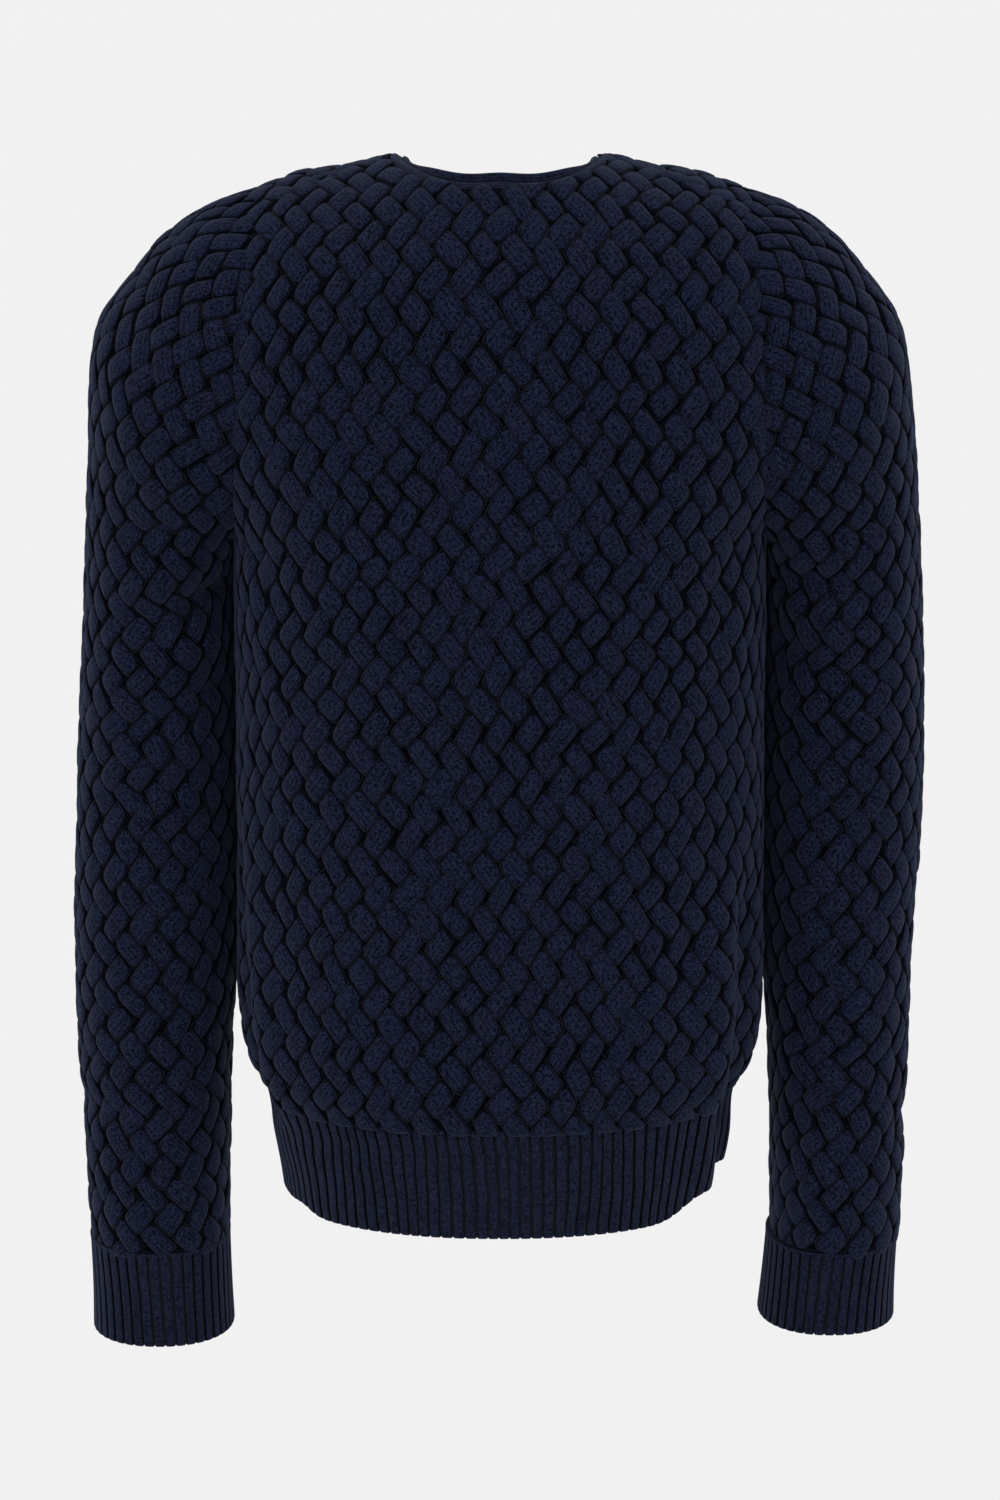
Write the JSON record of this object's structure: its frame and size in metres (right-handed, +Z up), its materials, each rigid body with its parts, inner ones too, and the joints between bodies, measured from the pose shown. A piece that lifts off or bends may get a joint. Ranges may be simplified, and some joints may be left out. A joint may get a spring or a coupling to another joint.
{
  "type": "cardigan",
  "caption": "Long-sleeved round-neck cardigan in a raised diagonal basket weave, filled out as worn, with ribbed hem and cuffs and a buttoned front.",
  "frame": {"origin": "on the centre line at the wearer's neck, level with the highest points of the shoulders beside the neck", "axes": "+Z up, +Y towards the back of the garment, +X towards the wearer's left"},
  "size_m": [0.5505, 0.2395, 0.773],
  "materials": {
    "woven_knit": "matte navy wool, soft fuzzy sheen",
    "rib_knit": "matte navy wool rib",
    "band_knit": "matte navy wool, plain knit",
    "button": "dark satin"
  },
  "bodies": {
    "root": {"back": "woven_knit", "front_left": "woven_knit", "front_right": "woven_knit", "sleeve_left": "woven_knit", "sleeve_right": "woven_knit", "hem_rib": "rib_knit", "cuff_left": "rib_knit", "cuff_right": "rib_knit", "neck_band": "band_knit", "band_left": "band_knit", "band_right": "band_knit", "button_1": "button", "button_2": "button", "button_3": "button", "button_4": "button", "button_5": "button", "button_6": "button"}
  },
  "joints": []
}
